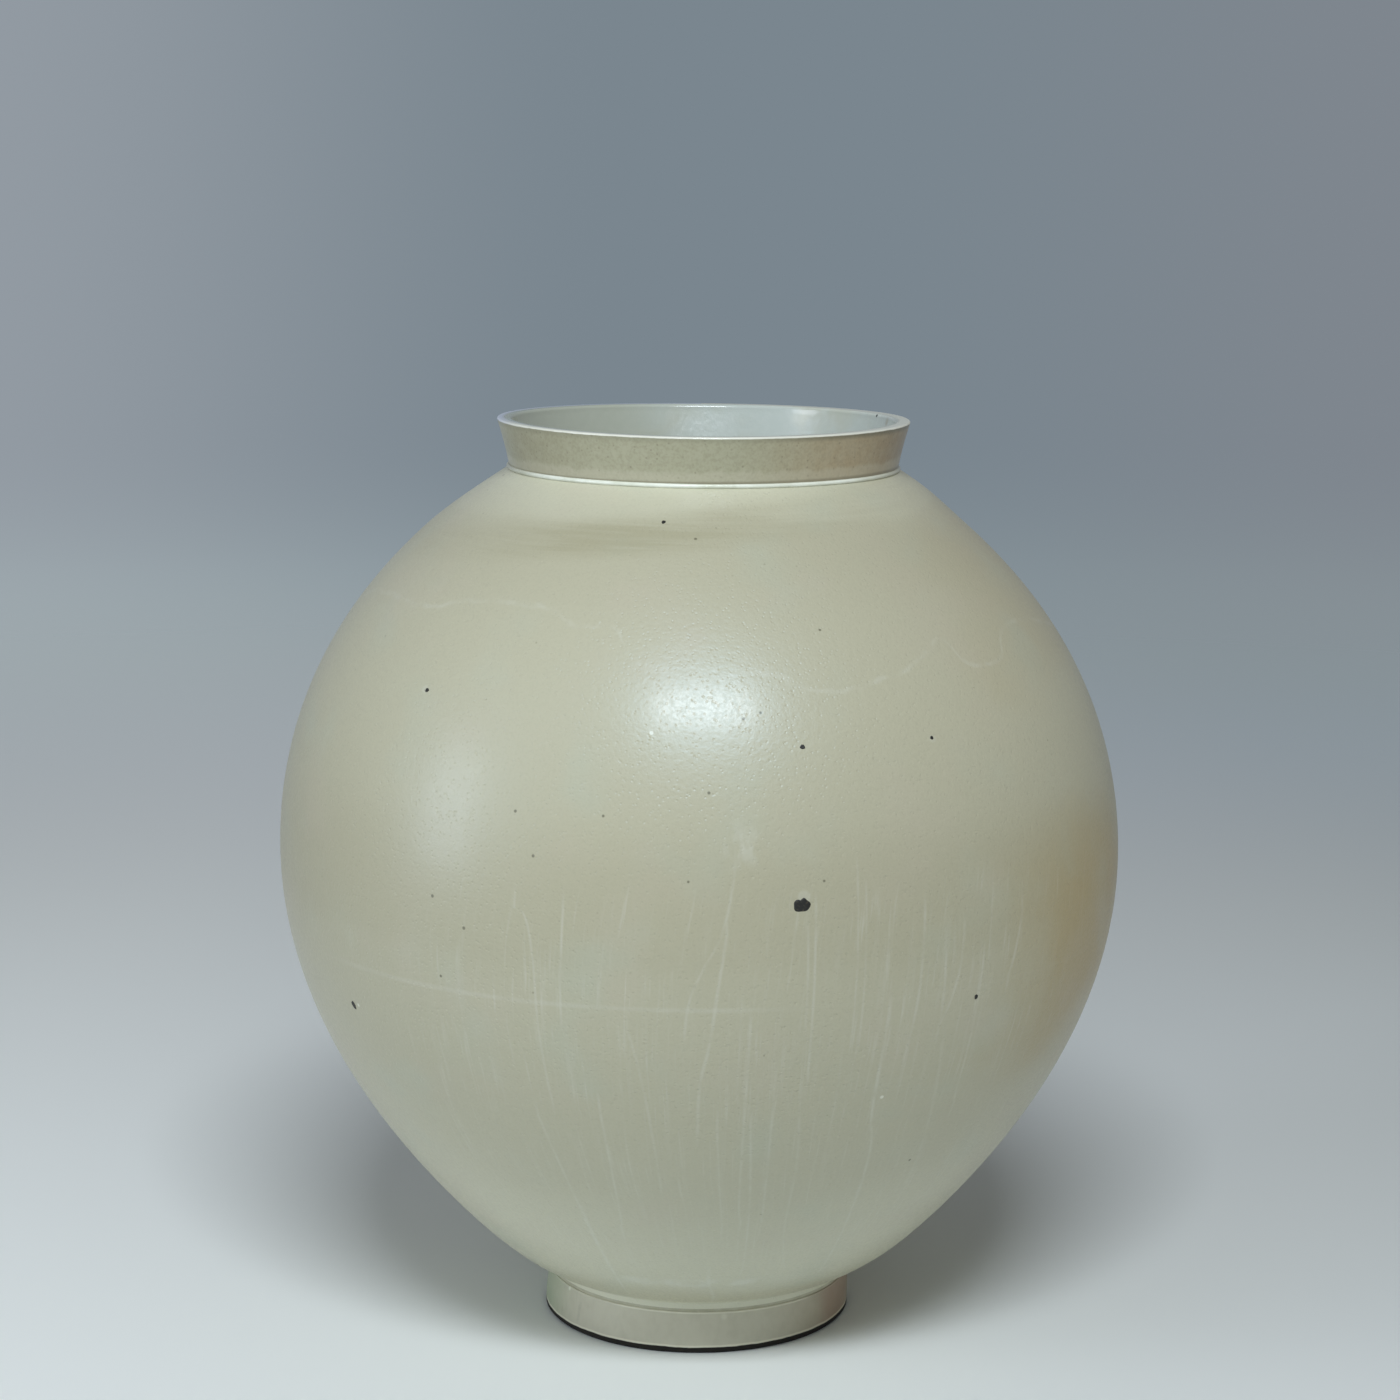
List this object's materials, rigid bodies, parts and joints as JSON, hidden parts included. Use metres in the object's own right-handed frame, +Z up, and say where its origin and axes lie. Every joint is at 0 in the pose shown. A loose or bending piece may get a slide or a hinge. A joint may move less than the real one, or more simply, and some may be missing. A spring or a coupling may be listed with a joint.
{
  "type": "moon jar",
  "caption": "Round glazed storage jar joined from two thrown bowls, with a low flared mouth collar, a luted belly seam and a narrow foot ring it stands on.",
  "frame": {"origin": "centre of the foot ring, on the surface the jar stands on", "axes": "+Z up the axis of the jar through the mouth; -Y towards the viewer of the picture, +X to that viewer's right"},
  "size_m": [0.285, 0.285, 0.309],
  "materials": {
    "body_glaze": "satin celadon-grey glaze over pale clay",
    "collar_glaze": "thin mottled satin glaze",
    "foot_glaze": "thin satin glaze, bare clay where it stands",
    "inside_glaze": "glossy pale glaze",
    "luting_slip": "pale fired slip",
    "iron_spot": "melted iron mineral"
  },
  "bodies": {
    "root": {"mouth_collar": "collar_glaze", "collar_slip": "luting_slip", "upper_bowl": "body_glaze", "belly_slip": "luting_slip", "seam_coil": "inside_glaze", "lower_bowl": "body_glaze", "foot_slip": "luting_slip", "foot_ring": "foot_glaze", "iron_spots": "iron_spot"}
  },
  "joints": []
}
